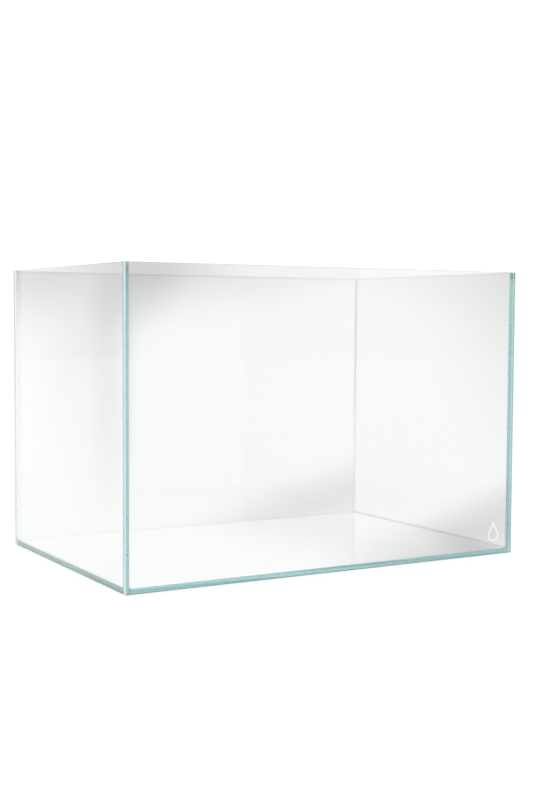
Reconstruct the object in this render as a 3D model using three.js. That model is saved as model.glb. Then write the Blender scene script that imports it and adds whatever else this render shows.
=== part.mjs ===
// A rimless, open-top aquarium: five panes of clear low-iron glass, held together by silicone.
// Units are millimetres. X runs along the width, Y along the depth with the front at -Y, Z points up,
// and the origin is the centre of the underside.

import * as THREE from "three";

// The tank's outer size.
const WIDTH = 450;
const DEPTH = 300;
const HEIGHT = 300;

// The glass: every pane has the same thickness, and a small chamfer ground along its edges.
const GLASS = 5;
const ARRIS = 0.3;

// The silicone: thin bond lines between the panes, and a bead along each inner corner.
const BOND = 0.5;
const BEAD = 2;
const BEAD_HOLLOW = 0.3; // the curve's control point, as a share of the bead's leg
const BEAD_SEGMENTS = 6;
const BEAD_TOP_GAP = 2; // the upright beads stop this far below the rim

// The printed mark: the outline of a water drop on the front pane's outer face, low on the right.
const DROP_HEIGHT = 21;
const DROP_WIDTH = 14;
const DROP_LINE = 1.3;
const DROP_TIP_LINE = 3.4; // the line's height at the pointed tip
const DROP_TAPER = 1.6; // how quickly the drop narrows towards its tip
const DROP_WIDEST = 0.69; // the widest half-width that this taper gives, as a share of the formula's scale
const DROP_STEPS = 40;
const MARK_FILM = 0.1;
const MARK_INSET = 25; // from the right side and from the underside

const UPRIGHT = new THREE.Euler(Math.PI / 2, 0, 0); // local Y goes up, local Z goes to the front
const ALONG = new THREE.Euler(Math.PI / 2, Math.PI / 2, 0); // local X, Y, Z become Y, Z, X

// Each side of the tank is built as a front, then turned about Z. The front and back panes run the
// full width, and the left and right panes fit between them.
const SIDES = [
  { name: "front", turn: 0, reach: DEPTH / 2, run: WIDTH, overlaps: true },
  { name: "right", turn: Math.PI / 2, reach: WIDTH / 2, run: DEPTH, overlaps: false },
  { name: "back", turn: Math.PI, reach: DEPTH / 2, run: WIDTH, overlaps: true },
  { name: "left", turn: -Math.PI / 2, reach: WIDTH / 2, run: DEPTH, overlaps: false },
];

const CORNERS = [
  { name: "front_left", x: -1, y: -1, turn: 0 },
  { name: "front_right", x: 1, y: -1, turn: Math.PI / 2 },
  { name: "back_right", x: 1, y: 1, turn: Math.PI },
  { name: "back_left", x: -1, y: 1, turn: -Math.PI / 2 },
];

function glassMaterial() {
  return new THREE.MeshStandardMaterial({
    color: 0xd5efec,
    roughness: 0.03,
    metalness: 0,
    transparent: true,
    opacity: 0.35,
  });
}

function siliconeMaterial() {
  return new THREE.MeshStandardMaterial({
    color: 0xe4ebea,
    roughness: 0.35,
    metalness: 0,
    transparent: true,
    opacity: 0.6,
  });
}

function printMaterial() {
  return new THREE.MeshStandardMaterial({
    color: 0xf7f8f8,
    roughness: 0.5,
    metalness: 0,
  });
}

function namedMesh(name, geometry, material) {
  const mesh = new THREE.Mesh(geometry, material);
  mesh.name = name;
  return mesh;
}

// A pane lying flat, centred on the origin, with both faces' edges chamfered.
function paneGeometry(length, breadth) {
  const x = length / 2 - ARRIS;
  const y = breadth / 2 - ARRIS;
  const outline = new THREE.Shape();
  outline.moveTo(-x, -y);
  outline.lineTo(x, -y);
  outline.lineTo(x, y);
  outline.lineTo(-x, y);
  outline.closePath();
  const flat = GLASS - 2 * ARRIS;
  const geometry = new THREE.ExtrudeGeometry(outline, {
    depth: flat,
    bevelThickness: ARRIS,
    bevelSize: ARRIS,
    bevelSegments: 1,
  });
  geometry.translate(0, 0, -flat / 2);
  return geometry;
}

// A bead's section has its corner on the origin and its legs along X and Y. The bead runs along Z.
function beadGeometry(length) {
  const pull = BEAD * BEAD_HOLLOW;
  const section = new THREE.Shape();
  section.moveTo(0, 0);
  section.lineTo(BEAD, 0);
  section.quadraticCurveTo(pull, pull, 0, BEAD);
  section.closePath();
  return new THREE.ExtrudeGeometry(section, {
    depth: length,
    bevelEnabled: false,
    curveSegments: BEAD_SEGMENTS,
  });
}

function wallPane(side) {
  const length = side.overlaps ? side.run : side.run - 2 * (GLASS + BOND);
  const pane = namedMesh(`${side.name}_pane`, paneGeometry(length, HEIGHT), glassMaterial());
  pane.rotation.copy(UPRIGHT);
  pane.position.set(0, GLASS / 2 - side.reach, HEIGHT / 2);
  return pane;
}

// The bond line between the base pane's edge and this wall covers the flat of the edge.
function baseBond(side) {
  const length = side.run - 2 * (GLASS + BOND + ARRIS);
  const geometry = new THREE.BoxGeometry(length, BOND, GLASS - 2 * ARRIS);
  const bond = namedMesh(`bond_base_${side.name}`, geometry, siliconeMaterial());
  bond.position.set(0, GLASS + BOND / 2 - side.reach, GLASS / 2);
  return bond;
}

// The bead along the floor's edge. The left and right ones end at the front and back ones.
function baseBead(side) {
  const inner = side.run - 2 * GLASS;
  const length = side.overlaps ? inner : inner - 2 * BEAD;
  const bead = namedMesh(`seal_base_${side.name}`, beadGeometry(length), siliconeMaterial());
  bead.rotation.copy(ALONG);
  bead.position.set(-length / 2, GLASS - side.reach, GLASS);
  return bead;
}

function sideGroup(side) {
  const group = new THREE.Group();
  group.add(wallPane(side), baseBond(side), baseBead(side));
  group.rotation.z = side.turn;
  return group;
}

function basePane() {
  const margin = 2 * (GLASS + BOND);
  const geometry = paneGeometry(WIDTH - margin, DEPTH - margin);
  const pane = namedMesh("base_pane", geometry, glassMaterial());
  pane.position.z = GLASS / 2;
  return pane;
}

// The upright bond line between a side pane's end and the inner face of the front or back pane.
function cornerBond(corner) {
  const geometry = new THREE.BoxGeometry(GLASS - 2 * ARRIS, BOND, HEIGHT - 2 * ARRIS);
  const bond = namedMesh(`bond_${corner.name}`, geometry, siliconeMaterial());
  const x = corner.x * (WIDTH / 2 - GLASS / 2);
  const y = corner.y * (DEPTH / 2 - GLASS - BOND / 2);
  bond.position.set(x, y, HEIGHT / 2);
  return bond;
}

// The upright inner bead stands on the floor's beads.
function cornerBead(corner) {
  const foot = GLASS + BEAD;
  const length = HEIGHT - BEAD_TOP_GAP - foot;
  const bead = namedMesh(`seal_${corner.name}`, beadGeometry(length), siliconeMaterial());
  bead.rotation.z = corner.turn;
  bead.position.set(corner.x * (WIDTH / 2 - GLASS), corner.y * (DEPTH / 2 - GLASS), foot);
  return bead;
}

// A water drop with its tip up, as one closed anticlockwise curve about the middle of its height.
function dropPoints(height, width) {
  const points = [];
  for (let step = 0; step < DROP_STEPS; step += 1) {
    const angle = (2 * Math.PI * step) / DROP_STEPS;
    const taper = Math.sin(angle / 2) ** DROP_TAPER;
    const x = ((-width / 2) * Math.sin(angle) * taper) / DROP_WIDEST;
    const y = (height / 2) * Math.cos(angle);
    points.push(new THREE.Vector2(x, y));
  }
  return points;
}

function cornerMark() {
  const outline = new THREE.Shape(dropPoints(DROP_HEIGHT, DROP_WIDTH));
  const inside = dropPoints(DROP_HEIGHT - DROP_LINE - DROP_TIP_LINE, DROP_WIDTH - 2 * DROP_LINE);
  const lowered = inside.map((point) => point.setY(point.y - (DROP_TIP_LINE - DROP_LINE) / 2));
  outline.holes.push(new THREE.Path(lowered));
  const geometry = new THREE.ExtrudeGeometry(outline, { depth: MARK_FILM, bevelEnabled: false });
  const mark = namedMesh("corner_mark", geometry, printMaterial());
  mark.rotation.copy(UPRIGHT);
  mark.position.set(WIDTH / 2 - MARK_INSET, -DEPTH / 2, MARK_INSET);
  return mark;
}

const tank = new THREE.Group();
tank.add(basePane(), cornerMark());
for (const side of SIDES) {
  tank.add(sideGroup(side));
}
for (const corner of CORNERS) {
  tank.add(cornerBond(corner), cornerBead(corner));
}

export default tank;
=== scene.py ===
"""The looks of a rimless glass aquarium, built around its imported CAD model.

Every length is in metres, and +Z is up. The panes, the silicone and the printed mark take the
places of the CAD nodes, which give their sizes. Clear pieces keep thin air gaps between them.
"""

import math

import bmesh
import bpy
from mathutils import Matrix, Vector, noise


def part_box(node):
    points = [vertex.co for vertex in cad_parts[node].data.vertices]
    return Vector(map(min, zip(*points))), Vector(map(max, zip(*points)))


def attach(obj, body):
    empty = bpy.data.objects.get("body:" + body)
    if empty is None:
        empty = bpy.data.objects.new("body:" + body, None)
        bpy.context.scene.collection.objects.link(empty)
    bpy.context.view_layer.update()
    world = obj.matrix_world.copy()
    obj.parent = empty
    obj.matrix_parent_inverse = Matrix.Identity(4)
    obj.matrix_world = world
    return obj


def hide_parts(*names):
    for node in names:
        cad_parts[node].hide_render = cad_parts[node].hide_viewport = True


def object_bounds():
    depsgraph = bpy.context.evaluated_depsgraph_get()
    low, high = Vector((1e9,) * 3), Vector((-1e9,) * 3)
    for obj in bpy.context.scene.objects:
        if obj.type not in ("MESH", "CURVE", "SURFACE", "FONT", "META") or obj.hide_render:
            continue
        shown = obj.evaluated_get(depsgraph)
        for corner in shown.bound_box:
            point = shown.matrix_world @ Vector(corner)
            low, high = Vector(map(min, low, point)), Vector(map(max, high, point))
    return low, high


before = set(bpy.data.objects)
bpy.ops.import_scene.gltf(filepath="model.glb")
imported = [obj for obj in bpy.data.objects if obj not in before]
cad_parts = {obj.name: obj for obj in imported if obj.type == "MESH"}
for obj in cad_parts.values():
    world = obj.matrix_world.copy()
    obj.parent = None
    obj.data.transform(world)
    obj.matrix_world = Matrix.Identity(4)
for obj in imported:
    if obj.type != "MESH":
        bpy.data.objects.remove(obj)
cad_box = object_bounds()

# The glass. The arris is the softened corner between a face and a ground edge.
ARRIS = 0.0003
ARRIS_STEPS = 4
FLAT = 0.999  # the least share of a unit normal along one axis on a flat face

GLASS_IOR = 1.52
GLASS_BODY_COLOUR = (0.68, 0.86, 0.855, 1)
GLASS_BODY_DENSITY = 10.5

# The edges are polished, apart from the rims and these panes' left ends, which are satin.
SATIN_ENDS = ("front_pane", "back_pane")

# The silicone. The clearance is the thin air gap between a clear piece and the glass. Without it,
# the edges render nearly black.
CLEARANCE = 0.00003
BEAD_IOR = 1.025  # both are under silicone's real 1.41, which darkens the near lower corner
BOND_IOR = 1.01
SILICONE_BODY_COLOUR = (0.5, 0.52, 0.52, 1)
SILICONE_BODY_DENSITY = 60.0
STATION = 0.004  # the spacing of the sections along a bead or a bond line
BEAD_LEG = 0.002
BEAD_HOLLOW = 0.06  # the curve's control point, as a share of the leg
BEAD_CURVE_STEPS = 12
BEAD_LEG_WAVER = 0.04
BEAD_HOLLOW_WAVER = 0.02
BEAD_WAVES = 30  # per metre
BEAD_TOP_ROUND = 0.0015
BOND_WAVER = 0.04
BOND_WAVES = 90
BOND_ROUND_STEPS = 4

# The printed mark, a water drop in outline.
DROP_LINE = 0.0013
DROP_TIP_LINE = 0.0034
DROP_TAPER = 1.6
DROP_WIDEST = 0.69
DROP_STEPS = 144
INK_SECTION = ((0.0, 0.0), (0.06, 0.6), (0.18, 0.95), (0.5, 1.0), (0.82, 0.95), (0.94, 0.6), (1.0, 0.0))

# The studio. White cards stand just outside the back and right panes, and one lies under the tank.
# The grey patches on them are painted shade that makes the clear panes read against white. Seen
# through the panes and mirrored in them, they lay soft shading over the glass, and the thin ones lay
# dark shade lines along the corners, the rim and the floor joint. A patch is its centre, its radii,
# its tilt, and how much of the card's light it takes.
FLOOR_REACH = 6.0
FLOOR_DROP = -0.0003
FLOOR_COLOUR = 0.2
FLOOR_GLOW = 0.84
WORLD_LIGHT = 1.05
BACKDROP_LIGHT = 1.1
LIGHT_COLOUR = (1.0, 0.985, 0.987)  # a little warm, against the glass's own tint
CARD_GAP = 0.010
CARD_TOP = 0.34
CARD_LIGHT = 0.96
# Painted shade on the back card: soft grey shading, and thin shade lines at the corners, the rim and the
# floor joint.
BACK_PAINTED_SHADE = (
    ((-0.075, 0.160, 0.280), (0.170, 1, 0.063), (0, -0.80, 0), 0.16),
    ((-0.105, 0.160, 0.185), (0.038, 1, 0.217), (0, 0, 0), 0.14),
    ((0.168, 0.160, 0.015), (0.312, 1, 0.057), (0, -0.24, 0), 0.20),
    ((-0.165, 0.160, 0.332), (0.600, 1, 0.118), (0, -0.08, 0), 0.41),
    ((-0.148, 0.160, 0.194), (0.076, 1, 0.265), (0, -0.16, 0), 0.07),
    ((-0.223, 0.160, 0.150), (0.010, 1, 0.400), (0, 0, 0), 0.20),
    ((0.000, 0.160, 0.300), (0.900, 1, 0.004), (0, 0, 0), 0.10),
    ((0.229, 0.160, 0.230), (0.0035, 1, 0.230), (0, 0, 0), 0.28),
    ((0.000, 0.160, 0.001), (0.900, 1, 0.0015), (0, 0, 0), 0.15),
)
# Painted shade on the card above the back rim.
BACK_TOP_PAINTED_SHADE = (
    ((-0.075, 0.160, 0.300), (0.170, 1, 0.200), (0, 0, 0), 0.28),
    ((0.000, 0.160, 0.300), (0.500, 1, 0.200), (0, 0, 0), 0.06),
)
# Painted shade on the right card: soft diagonal shading, and thin shade lines at the rim and the floor
# joint.
RIGHT_PAINTED_SHADE = (
    ((0.235, -0.012, -0.016), (1, 0.600, 0.053), (-0.41, 0, 0), 0.31),
    ((0.235, -0.341, 0.382), (1, 0.600, 0.407), (0.77, 0, 0), 0.40),
    ((0.235, 0.243, 0.400), (1, 0.560, 0.115), (0.31, 0, 0), 0.09),
    ((0.235, 0.000, 0.300), (1, 0.900, 0.004), (0, 0, 0), 0.05),
    ((0.235, 0.000, 0.001), (1, 0.900, 0.0015), (0, 0, 0), 0.35),
)
# A painted shadow under the tank, darkest towards the front right, seen through the base.
UNDER_PAINTED_SHADOW = (((0.150, -0.150, 0.000), (0.450, 0.150, 1), (0, 0, 0.785), 0.64),)
MOST_BOUNCES = 200  # plenty for light that is caught inside a pane
DIFFUSE_BOUNCES = 4

# The camera stands a little to the left of the tank, and looks slightly down at it.
CAMERA_PLACE = Vector((-0.68913, -1.20243, 0.25062))
CAMERA_HEADING = 30.075
CAMERA_PITCH = -3.667
CAMERA_ROLL = 0.309
CAMERA_LENS = 57.80

SIDES = ("front", "right", "back", "left")
CORNERS = ("front_left", "front_right", "back_right", "back_left")


# Materials


class Shader:
    """A new material, with short ways to add nodes to it and to join them."""

    def __init__(self, name):
        self.material = bpy.data.materials.new(name)
        self.material.use_nodes = True
        self.tree = self.material.node_tree
        self.surface = self.tree.nodes["Principled BSDF"]
        self.output = self.tree.nodes["Material Output"]

    def add(self, kind, **settings):
        made = self.tree.nodes.new(kind)
        for key, value in settings.items():
            setattr(made, key, value)
        return made

    def join(self, source, target):
        self.tree.links.new(source, target)

    def noise(self, coordinates, scale, detail=3.0, stretch=(1, 1, 1)):
        """A noise of about 0.5 either way, finer as scale grows. stretch scales each axis."""
        mapping = self.add("ShaderNodeMapping")
        mapping.inputs["Scale"].default_value = stretch
        self.join(coordinates, mapping.inputs["Vector"])
        texture = self.add("ShaderNodeTexNoise")
        texture.inputs["Scale"].default_value = scale
        texture.inputs["Detail"].default_value = detail
        self.join(mapping.outputs["Vector"], texture.inputs["Vector"])
        return texture.outputs["Fac"]

    def spread(self, source, low, high, out_low, out_high):
        """The source's stretch from low to high, spread smoothly over out_low to out_high."""
        remap = self.add("ShaderNodeMapRange", interpolation_type="SMOOTHSTEP")
        values = {"From Min": low, "From Max": high, "To Min": out_low, "To Max": out_high}
        for key, value in values.items():
            remap.inputs[key].default_value = value
        self.join(source, remap.inputs["Value"])
        return remap.outputs["Result"]

    def mix(self, share, first, second):
        """first where share is 0, second where it is 1. Both are sockets."""
        blend = self.add("ShaderNodeMix")
        self.join(share, blend.inputs["Factor"])
        self.join(first, blend.inputs["A"])
        self.join(second, blend.inputs["B"])
        return blend.outputs["Result"]

    def colours(self, source, *stops):
        """A colour ramp through (position, colour) stops."""
        ramp = self.add("ShaderNodeValToRGB")
        elements = ramp.color_ramp.elements
        elements[0].position, elements[0].color = stops[0][0], (*stops[0][1], 1)
        elements[1].position, elements[1].color = stops[-1][0], (*stops[-1][1], 1)
        for position, colour in stops[1:-1]:
            elements.new(position).color = (*colour, 1)
        self.join(source, ramp.inputs["Fac"])
        return ramp.outputs["Color"]

    def bump(self, height, distance, strength=1.0):
        relief = self.add("ShaderNodeBump")
        relief.inputs["Distance"].default_value = distance
        relief.inputs["Strength"].default_value = strength
        self.join(height, relief.inputs["Height"])
        self.join(relief.outputs["Normal"], self.surface.inputs["Normal"])


def glass_material():
    """Glass that is clear and faintly wiped on its faces, and satin on the edges marked as ground."""
    shader = Shader("clear_glass")
    surface = shader.surface
    surface.inputs["IOR"].default_value = GLASS_IOR

    place = shader.add("ShaderNodeTexCoord").outputs["Object"]
    ground = shader.add("ShaderNodeAttribute", attribute_name="ground").outputs["Fac"]
    along = shader.add("ShaderNodeUVMap", uv_map="grain").outputs["UV"]

    # The faces carry only a trace of wiping. The ground edges keep fine lines along their length.
    wiped = shader.spread(shader.noise(place, 9, 4, (1, 1, 0.5)), 0.5, 0.8, 0.0, 0.012)
    lines = shader.noise(along, 30, 5, (1, 60, 1))
    honed = shader.spread(lines, 0.3, 0.7, 0.2, 0.35)
    shader.join(shader.mix(ground, wiped, honed), surface.inputs["Roughness"])

    clear = shader.colours(shader.noise(place, 4), (0.3, (1, 1, 1)), (0.8, (0.994, 0.996, 0.996)))
    frosted = shader.colours(lines, (0.3, (0.84, 0.93, 0.95)), (0.7, (0.92, 0.97, 0.98)))
    tint = shader.add("ShaderNodeMix", data_type="RGBA")
    shader.join(ground, tint.inputs["Factor"])
    shader.join(clear, tint.inputs["A"])
    shader.join(frosted, tint.inputs["B"])
    shader.join(tint.outputs["Result"], surface.inputs["Base Color"])
    shader.join(shader.spread(ground, 0, 1, 1, 0.36), surface.inputs["Transmission Weight"])

    relief = shader.add("ShaderNodeMath", operation="MULTIPLY")
    shader.join(lines, relief.inputs[0])
    shader.join(ground, relief.inputs[1])
    shader.bump(relief.outputs["Value"], 0.00003)

    # The body of the glass takes a little red from the light, which shows where light runs along it.
    body = shader.add("ShaderNodeVolumeAbsorption")
    body.inputs["Color"].default_value = GLASS_BODY_COLOUR
    body.inputs["Density"].default_value = GLASS_BODY_DENSITY
    shader.join(body.outputs["Volume"], shader.output.inputs["Volume"])
    return shader.material


def silicone_material(name, refraction):
    """Clear silicone, smoothed by hand, with faint clouding and fine ripples."""
    shader = Shader(name)
    surface = shader.surface
    surface.inputs["Transmission Weight"].default_value = 1.0
    surface.inputs["IOR"].default_value = refraction

    place = shader.add("ShaderNodeTexCoord").outputs["Object"]
    cloud = shader.noise(place, 90, 4)
    tint = shader.colours(cloud, (0.35, (1, 1, 1)), (0.7, (0.985, 0.992, 0.99)))
    shader.join(tint, surface.inputs["Base Color"])
    shader.join(shader.spread(cloud, 0.3, 0.75, 0.0, 0.02), surface.inputs["Roughness"])
    shader.bump(shader.noise(place, 320, 3), 0.00001, 0.3)

    # It is a little milky, so a bead is greyest where it is thickest.
    body = shader.add("ShaderNodeVolumeAbsorption")
    body.inputs["Color"].default_value = SILICONE_BODY_COLOUR
    body.inputs["Density"].default_value = SILICONE_BODY_DENSITY
    shader.join(body.outputs["Volume"], shader.output.inputs["Volume"])
    return shader.material


def print_material():
    """White ceramic ink, fired on: near white, with a fine matt grain."""
    shader = Shader("white_print")
    surface = shader.surface
    surface.inputs["IOR"].default_value = 1.5

    place = shader.add("ShaderNodeTexCoord").outputs["Object"]
    grain = shader.noise(place, 2600, 4)
    cover = shader.noise(place, 420, 3)
    tint = shader.colours(cover, (0.3, (0.90, 0.905, 0.905)), (0.6, (0.97, 0.97, 0.97)))
    shader.join(tint, surface.inputs["Base Color"])
    shader.join(shader.spread(grain, 0.3, 0.7, 0.38, 0.6), surface.inputs["Roughness"])
    shader.bump(grain, 0.00002, 0.6)
    return shader.material


# Meshes


def piece(name, bm, material, nodes):
    """Turns the bmesh into a piece of the tank that stands for the CAD nodes."""
    bmesh.ops.recalc_face_normals(bm, faces=bm.faces)
    mesh = bpy.data.meshes.new(name)
    bm.to_mesh(mesh)
    bm.free()
    mesh.materials.append(material)
    made = bpy.data.objects.new(name, mesh)
    bpy.context.scene.collection.objects.link(made)
    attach(made, "root")
    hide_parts(*nodes)
    return made


def pane(node, material):
    """A sheet of glass in its CAD node's box, with its edges ground and their corners softened."""
    low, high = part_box(node)
    size = high - low
    thin = min(range(3), key=lambda axis: size[axis])
    bm = bmesh.new()
    bmesh.ops.create_cube(bm, size=1.0)
    bmesh.ops.scale(bm, vec=size, verts=bm.verts)
    bmesh.ops.translate(bm, vec=(low + high) / 2, verts=bm.verts)
    bmesh.ops.bevel(
        bm,
        geom=bm.edges,
        offset=ARRIS,
        segments=ARRIS_STEPS,
        profile=0.5,
        affect="EDGES",
    )
    bm.normal_update()
    ground = bm.faces.layers.float.new("ground")
    grain = bm.loops.layers.uv.new("grain")
    for face in bm.faces:
        turned = [abs(component) for component in face.normal]
        facing = max((axis for axis in range(3) if axis != thin), key=lambda axis: turned[axis])
        left_end = node in SATIN_ENDS and facing == 0 and face.normal.x < 0
        rim = facing == 2 and face.normal.z > 0
        face.smooth = max(turned) < FLAT
        face[ground] = float((left_end or rim) and turned[thin] < FLAT)
        run = 3 - thin - facing  # the axis that this edge and its grain run along
        for loop in face.loops:
            loop[grain].uv = (loop.vert.co[run], loop.vert.co[thin] + loop.vert.co[facing])
    return piece(f"glass_{node}", bm, material, [node])


def strip(rings):
    """A bmesh of one closed body through rings of points, with a cap at each end."""
    bm = bmesh.new()
    made = [[bm.verts.new(point) for point in ring] for ring in rings]
    for ring, following in zip(made, made[1:]):
        join_rings(bm, ring, following)
    bm.faces.new(made[0])
    bm.faces.new(made[-1])
    return bm


def join_rings(bm, ring, following):
    for index in range(len(ring)):
        after = (index + 1) % len(ring)
        face = bm.faces.new((ring[index], ring[after], following[after], following[index]))
        face.smooth = True


def waver(seed, distance, waves):
    """A smooth random value from -1 to 1 at a distance along a piece. Each seed has its own run."""
    return noise.noise(Vector((distance * waves, seed * 7.31, 0.5)))


def bead_section(leg, hollow):
    """Round a bead's concave section: offsets (a, b) from the two sheets of glass that it joins."""
    reach = leg - CLEARANCE
    pull = leg * hollow
    points = [(CLEARANCE, CLEARANCE)]
    for step in range(BEAD_CURVE_STEPS + 1):
        t = step / BEAD_CURVE_STEPS
        first, middle, last = (1 - t) ** 2, 2 * t * (1 - t), t**2
        a = first * reach + middle * pull + last * CLEARANCE
        b = first * CLEARANCE + middle * pull + last * reach
        points.append((a, b))
    return points


def bead_rings(corner, run, side_a, side_b, length, seed, mitred_end):
    """A bead's sections, from the inner corner point along run. side_a and side_b leave the glass.

    Where beads meet they are mitred: each line of points starts as far along as it stands off the
    glass, so that three beads fit together in a corner of the tank.
    """
    count = round(length / STATION)
    rings = []
    for station in range(count + 1):
        share = station / count
        leg = BEAD_LEG * (1 - BEAD_LEG_WAVER * abs(waver(seed, share * length, BEAD_WAVES)))
        hollow = BEAD_HOLLOW + BEAD_HOLLOW_WAVER * waver(seed + 50, share * length, BEAD_WAVES)
        ring = []
        for a, b in bead_section(leg, hollow):
            start = max(a, b) + CLEARANCE
            end = length - start if mitred_end else length
            ring.append(corner + side_a * a + side_b * b + run * (start + share * (end - start)))
        rings.append(ring)
    return rings


def rounded_end(ring, centre, run, reach, steps):
    """Rings that go on from the last one along run for the reach, and draw in to the centre line."""
    rounded = []
    for step in range(1, steps + 1):
        turn = step / (steps + 1) * math.pi / 2
        drawn_in, on = math.cos(turn), run * reach * math.sin(turn)
        rounded.append([centre + (point - centre) * drawn_in + on for point in ring])
    return rounded


def inner_corners():
    """The tank's inner corner points at the floor, in the order of CORNERS."""
    left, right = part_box("left_pane")[1].x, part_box("right_pane")[0].x
    front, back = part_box("front_pane")[1].y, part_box("back_pane")[0].y
    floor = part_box("base_pane")[1].z
    return [Vector((x, y, floor)) for x, y in ((left, front), (right, front), (right, back), (left, back))]


def beads(material):
    """The beads along the floor's four edges and up the four inner corners."""
    corners = inner_corners()
    up = Vector((0, 0, 1))
    runs = [(corners[(turn + 1) % 4] - corner).normalized() for turn, corner in enumerate(corners)]
    for turn, (side, name, corner) in enumerate(zip(SIDES, CORNERS, corners)):
        length = (corners[(turn + 1) % 4] - corner).length
        inward = up.cross(runs[turn])
        rings = bead_rings(corner, runs[turn], inward, up, length, turn, mitred_end=True)
        piece(f"bead_base_{side}", strip(rings), material, [f"seal_base_{side}"])

        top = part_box(f"seal_{name}")[1].z - BEAD_TOP_ROUND
        length = top - corner.z
        rings = bead_rings(corner, up, runs[turn], -runs[turn - 1], length, turn + 4, mitred_end=False)
        on_glass = corner + (runs[turn] - runs[turn - 1]) * CLEARANCE + up * length
        rings += rounded_end(rings[-1], on_glass, up, BEAD_TOP_ROUND, 4)
        piece(f"bead_{name}", strip(rings), material, [f"seal_{name}"])


def bond_section(left, right, half):
    """Round a bond line's section: offsets (across, through). Its two sides are rounded."""
    points = []
    for side, reach in ((1, right), (-1, left)):
        for step in range(BOND_ROUND_STEPS + 1):
            turn = (step / BOND_ROUND_STEPS - 0.5) * math.pi
            points.append((side * (reach - half + half * math.cos(turn)), side * half * math.sin(turn)))
    return points


def bond(node, seed, material):
    """The thin layer of silicone in a joint. It was squeezed out, so its two long sides waver."""
    low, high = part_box(node)
    size = high - low
    thin, wide, long = sorted(range(3), key=lambda axis: size[axis])
    units = [Vector([float(axis == index) for index in range(3)]) for axis in range(3)]
    through, across, run = units[thin], units[wide], units[long]
    half = size[thin] / 2 - CLEARANCE
    length = size[long] - 2 * half
    middle = (low + high) / 2
    count = round(length / STATION)
    rings = []
    for station in range(count + 1):
        distance = station / count * length
        centre = middle + run * (distance - length / 2)
        left = size[wide] / 2 * (1 - BOND_WAVER * abs(waver(seed, distance, BOND_WAVES)))
        right = size[wide] / 2 * (1 - BOND_WAVER * abs(waver(seed + 20, distance, BOND_WAVES)))
        section = bond_section(left, right, half)
        rings.append([centre + across * a + through * b for a, b in section])
    start, end = middle - run * length / 2, middle + run * length / 2
    before = rounded_end(rings[0], start, -run, half, 2)
    rings = before[::-1] + rings + rounded_end(rings[-1], end, run, half, 2)
    return piece(f"silicone_{node}", strip(rings), material, [node])


def drop_point(turn, height, width):
    """A point on the outline of a water drop about its middle, from its tip right round at turn 1."""
    angle = 2 * math.pi * turn
    taper = math.sin(angle / 2) ** DROP_TAPER
    return Vector((width / 2 * math.sin(angle) * taper / DROP_WIDEST, 0, height / 2 * math.cos(angle)))


def mark(node, material):
    """The printed outline of a water drop. The ink stands a little proud, with soft edges."""
    low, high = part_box(node)
    size = high - low
    middle = Vector(((low.x + high.x) / 2, high.y - CLEARANCE, (low.z + high.z) / 2))
    film = size.y - 2 * CLEARANCE
    lowered = Vector((0, 0, (DROP_LINE - DROP_TIP_LINE) / 2))
    bm = bmesh.new()
    rings = []
    for step in range(DROP_STEPS):
        turn = step / DROP_STEPS
        outer = drop_point(turn, size.z, size.x)
        inner = drop_point(turn, size.z - DROP_LINE - DROP_TIP_LINE, size.x - 2 * DROP_LINE) + lowered
        ring = []
        for share, rise in INK_SECTION:
            point = outer.lerp(inner, share) + middle
            point.y -= rise * film
            ring.append(bm.verts.new(point))
        rings.append(ring)
    for ring, following in zip(rings, rings[1:] + rings[:1]):
        join_rings(bm, ring, following)
    return piece("drop_mark", bm, material, [node])


# The studio


def plane(name, corners, material):
    """A flat card through four corners, which is no part of the tank."""
    mesh = bpy.data.meshes.new(name)
    mesh.from_pydata([tuple(corner) for corner in corners], [], [(0, 1, 2, 3)])
    mesh.materials.append(material)
    made = bpy.data.objects.new(name, mesh)
    bpy.context.scene.collection.objects.link(made)
    return made


def studio_floor():
    """A pale floor that glows a little, so that it stays bright close to the tank."""
    shader = Shader("studio_floor")
    shader.surface.inputs["Base Color"].default_value = (*(FLOOR_COLOUR,) * 3, 1)
    shader.surface.inputs["Roughness"].default_value = 0.9
    shader.surface.inputs["Emission Color"].default_value = (*LIGHT_COLOUR, 1)
    shader.surface.inputs["Emission Strength"].default_value = FLOOR_GLOW
    reach = FLOOR_REACH
    corners = [(x * reach, y * reach, FLOOR_DROP) for x, y in ((-1, -1), (1, -1), (1, 1), (-1, 1))]
    return plane("studio_floor", corners, shader.material)


def studio_card(name, corners, light_level, painted_shade_spots):
    """A white card that is seen only through glass or mirrored in it. Each spot on it is painted shade."""
    shader = Shader(name)
    glow = shader.add("ShaderNodeEmission")
    place = shader.add("ShaderNodeTexCoord").outputs["Object"]
    light = shader.add("ShaderNodeValue").outputs["Value"]
    light.default_value = light_level
    # Each spot takes light away from the card as painted shade.
    for centre, radii, tilt, depth in painted_shade_spots:
        mapping = shader.add("ShaderNodeMapping", vector_type="TEXTURE")
        mapping.inputs["Location"].default_value = centre
        mapping.inputs["Rotation"].default_value = tilt
        mapping.inputs["Scale"].default_value = radii
        shader.join(place, mapping.inputs["Vector"])
        fade = shader.add("ShaderNodeTexGradient", gradient_type="SPHERICAL")
        shader.join(mapping.outputs["Vector"], fade.inputs["Vector"])
        shaded = shader.add("ShaderNodeMath", operation="SUBTRACT")
        shader.join(light, shaded.inputs[0])
        shader.join(shader.spread(fade.outputs["Fac"], 0, 1, 0, depth), shaded.inputs[1])
        light = shaded.outputs["Value"]
    glow.inputs["Color"].default_value = (*LIGHT_COLOUR, 1)
    shader.join(light, glow.inputs["Strength"])
    shader.join(glow.outputs["Emission"], shader.output.inputs["Surface"])
    card = plane(name, corners, shader.material)
    card.visible_camera = False
    card.visible_diffuse = False
    card.visible_shadow = False
    return card


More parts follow.
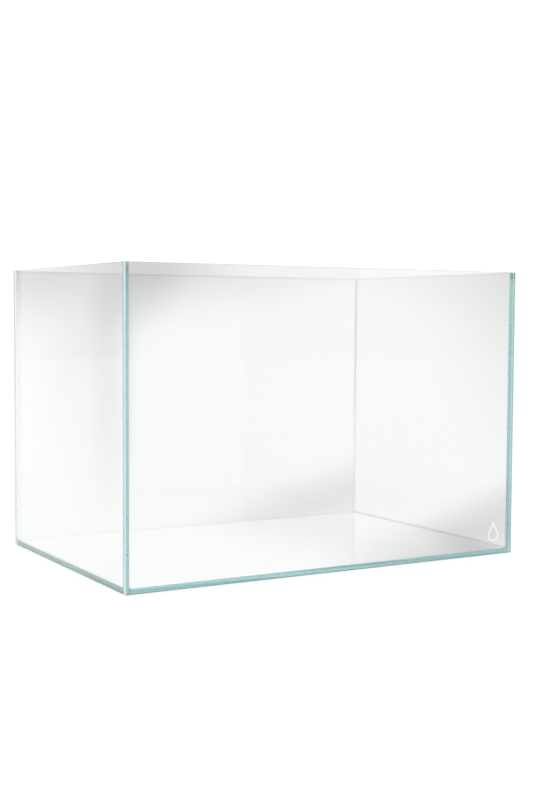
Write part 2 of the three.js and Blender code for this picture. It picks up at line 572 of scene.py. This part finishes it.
def studio_world():
    """Even light from all round, behind a pure white backdrop that only the camera sees."""
    world = bpy.data.worlds.new("studio")
    world.use_nodes = True
    tree = world.node_tree
    light = tree.nodes["Background"]
    light.inputs["Color"].default_value = (*LIGHT_COLOUR, 1)
    light.inputs["Strength"].default_value = WORLD_LIGHT
    backdrop = tree.nodes.new("ShaderNodeBackground")
    backdrop.inputs["Color"].default_value = (1, 1, 1, 1)
    backdrop.inputs["Strength"].default_value = BACKDROP_LIGHT
    seen = tree.nodes.new("ShaderNodeMixShader")
    paths = tree.nodes.new("ShaderNodeLightPath")
    tree.links.new(paths.outputs["Is Camera Ray"], seen.inputs[0])
    tree.links.new(light.outputs["Background"], seen.inputs[1])
    tree.links.new(backdrop.outputs["Background"], seen.inputs[2])
    tree.links.new(seen.outputs["Shader"], tree.nodes["World Output"].inputs["Surface"])
    bpy.context.scene.world = world


def studio_camera():
    camera = bpy.data.cameras.new("camera")
    camera.lens = CAMERA_LENS
    made = bpy.data.objects.new("camera", camera)
    bpy.context.scene.collection.objects.link(made)
    made.matrix_world = (
        Matrix.Translation(CAMERA_PLACE)
        @ Matrix.Rotation(math.radians(-CAMERA_HEADING), 4, "Z")
        @ Matrix.Rotation(math.radians(90 + CAMERA_PITCH), 4, "X")
        @ Matrix.Rotation(math.radians(CAMERA_ROLL), 4, "Z")
    )
    bpy.context.scene.camera = made


def light_paths():
    """Light runs a long way inside the edges of the glass, so it may meet many surfaces."""
    scene = bpy.context.scene
    scene.view_settings.view_transform = "Standard"
    scene.cycles.max_bounces = MOST_BOUNCES
    scene.cycles.transmission_bounces = MOST_BOUNCES
    scene.cycles.glossy_bounces = MOST_BOUNCES
    scene.cycles.diffuse_bounces = DIFFUSE_BOUNCES


def build_tank():
    glass = glass_material()
    soft_bond = silicone_material("bond_silicone", BOND_IOR)
    for side in SIDES:
        pane(f"{side}_pane", glass)
    pane("base_pane", glass)
    beads(silicone_material("bead_silicone", BEAD_IOR))
    bonds = [f"bond_{corner}" for corner in CORNERS] + [f"bond_base_{side}" for side in SIDES]
    for seed, node in enumerate(bonds):
        bond(node, seed, soft_bond)
    mark("corner_mark", print_material())


def build_studio():
    left, front, rim = cad_box[0][0] - CARD_GAP, cad_box[0][1] - CARD_GAP, cad_box[1][2]
    right, back = cad_box[1][0] + CARD_GAP, cad_box[1][1] + CARD_GAP
    low = FLOOR_DROP / 2
    behind, beside = ((left, back), (right, back)), ((right, back), (right, front))
    studio_floor()
    # The grey patches on these cards are painted shade, seen through the panes and mirrored in them.
    for name, line, bottom, top, painted_shade_spots in (
        ("studio_card_back", behind, low, rim, BACK_PAINTED_SHADE),
        ("studio_card_back_top", behind, rim, CARD_TOP, BACK_TOP_PAINTED_SHADE),
        ("studio_card_right", beside, low, rim, RIGHT_PAINTED_SHADE),
        ("studio_card_right_top", beside, rim, CARD_TOP, ()),
    ):
        start, end = line
        corners = [(*start, bottom), (*end, bottom), (*end, top), (*start, top)]
        studio_card(name, corners, CARD_LIGHT, painted_shade_spots)
    # The card under the tank carries a painted shadow, seen through the base pane.
    base_low, base_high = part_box("base_pane")
    across, along = (base_low.x, base_high.x), (base_low.y, base_high.y)
    corners = [(across[x], along[y], low) for x, y in ((0, 0), (1, 0), (1, 1), (0, 1))]
    studio_card("studio_card_under", corners, WORLD_LIGHT, UNDER_PAINTED_SHADOW)
    studio_world()
    studio_camera()
    light_paths()


build_tank()
build_studio()
